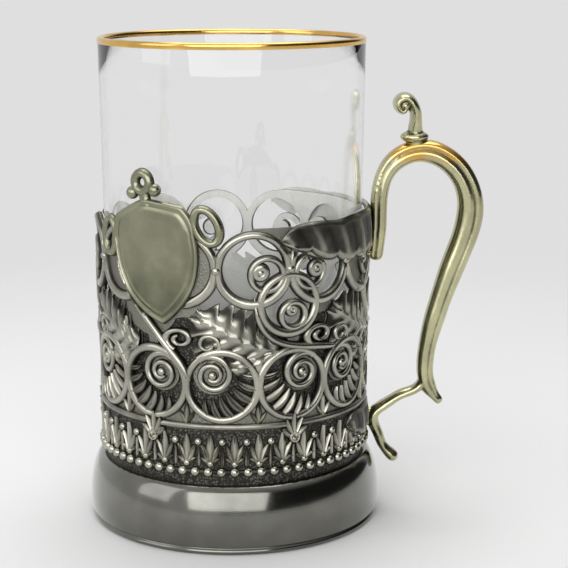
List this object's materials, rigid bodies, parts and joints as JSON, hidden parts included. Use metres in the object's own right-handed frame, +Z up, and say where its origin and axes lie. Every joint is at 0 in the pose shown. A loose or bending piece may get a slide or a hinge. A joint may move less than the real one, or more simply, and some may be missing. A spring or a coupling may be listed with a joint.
{
  "type": "podstakannik tea glass holder",
  "caption": "Tea glass in a pierced brass holder with scroll openwork, a bare shield, a beaded frieze, a cushion foot and a cast scroll handle; the glass lifts out.",
  "frame": {"origin": "middle of the foot, on the surface it stands on", "axes": "+Z up along the axis of the glass, +X towards the handle, -Y towards the side with the shield"},
  "size_m": [0.1017, 0.0752, 0.1231],
  "materials": {
    "tea_glass": "clear, thin",
    "gilt": "fired gilding, bright",
    "foot_brass": "polished, toned dark",
    "floor_brass": "plain, dull",
    "frieze_brass": "blackened in the hollows",
    "bead_brass": "worn bright on the tops",
    "wire_brass": "worn bright",
    "wall_brass": "blackened in the hollows, worn bright on the relief",
    "shield_brass": "plain, satin",
    "saddle_brass": "toned dark, satin",
    "handle_brass": "cast, hand polished",
    "rivet_brass": "filed flush"
  },
  "bodies": {
    "holder": {"spun_foot": "foot_brass", "floor_plate": "floor_brass", "frieze_band": "frieze_brass", "bead_ring": "bead_brass", "seam_wire": "wire_brass", "pierced_wall": "wall_brass", "shield_plate": "shield_brass", "upper_handle_saddle": "saddle_brass", "lower_handle_saddle": "saddle_brass", "cast_handle": "handle_brass", "thumb_rest": "handle_brass", "handle_rivets": "rivet_brass"},
    "glass": {"glass_tumbler": "tea_glass", "gilt_rim_band": "gilt"}
  },
  "joints": [
    {"name": "glass_lift", "type": "slide", "parent": "holder", "child": "glass", "axis": [0, 0, 1], "range_m": [0, 0.085]}
  ]
}
